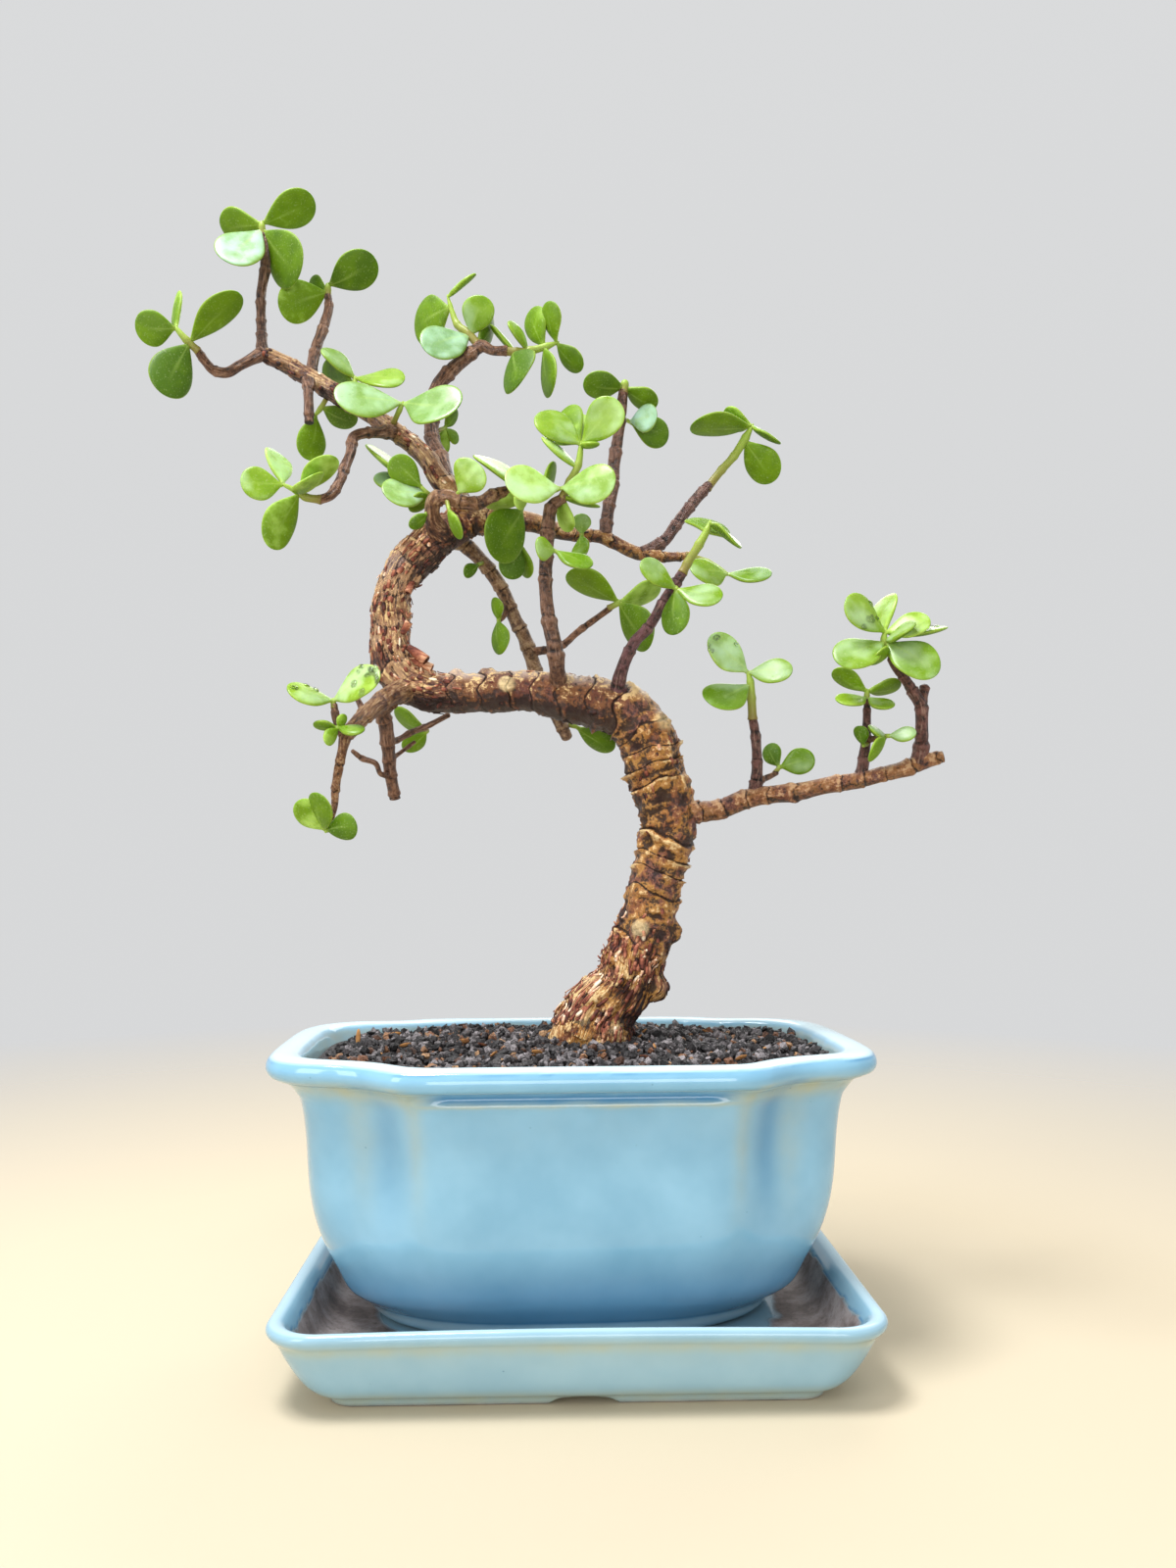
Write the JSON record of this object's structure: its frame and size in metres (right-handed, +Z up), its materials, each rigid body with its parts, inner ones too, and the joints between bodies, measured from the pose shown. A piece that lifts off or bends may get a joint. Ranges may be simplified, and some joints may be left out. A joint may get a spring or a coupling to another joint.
{
  "type": "dwarf jade bonsai in a glazed pot",
  "caption": "Curved-trunk dwarf jade bonsai with round succulent leaves, rooted in dark grit in an oblong sky-blue glazed pot that stands on a matching drip saucer.",
  "frame": {"origin": "middle of the object's box, on the surface that the saucer stands on", "axes": "+Z up, +X along the pot's long side to the right as seen from its front, +Y from the front to the back"},
  "size_m": [0.2476, 0.1288, 0.3612],
  "materials": {
    "pot_glaze": "gloss",
    "saucer_glaze": "gloss",
    "grit": "matte",
    "bark": "matte",
    "leaf": "satin",
    "screen_plastic": "matte"
  },
  "bodies": {
    "root": {"saucer": "saucer_glaze", "pot": "pot_glaze", "soil": "grit", "tree": "bark", "drain_screen_left": "screen_plastic", "drain_screen_right": "screen_plastic", "sprig_crown_top": "leaf", "sprig_crown_back": "leaf", "sprig_crown_left": "leaf", "sprig_low_left": "leaf", "sprig_limb_under": "leaf", "sprig_limb_over": "leaf", "sprig_limb_front": "leaf", "sprig_fork_left": "leaf", "sprig_fork_right": "leaf", "sprig_spike_top": "leaf", "sprig_spike_back": "leaf", "sprig_mid_pale": "leaf", "sprig_mid_gloss": "leaf", "sprig_mid_left": "leaf", "sprig_mid_drop": "leaf", "sprig_right_high": "leaf", "sprig_right_tip": "leaf", "sprig_right_node": "leaf", "sprig_right_low": "leaf", "sprig_heart_right": "leaf", "sprig_heart_front": "leaf", "sprig_heart_low": "leaf", "sprig_stem_node": "leaf", "sprig_limb_bud": "leaf", "sprig_back_twig": "leaf", "sprig_back_leaf": "leaf", "sprig_cluster": "leaf", "sprig_cluster_low": "leaf", "sprig_behind_fork": "leaf", "sprig_long_left": "leaf", "sprig_long_twig": "leaf", "sprig_long_mid": "leaf", "sprig_long_side": "leaf", "sprig_long_bud": "leaf", "sprig_long_end": "leaf", "sprig_near_top": "leaf", "sprig_near_node": "leaf", "sprig_near_low": "leaf", "sprig_back_low": "leaf", "sprig_arch_back": "leaf"}
  },
  "joints": []
}
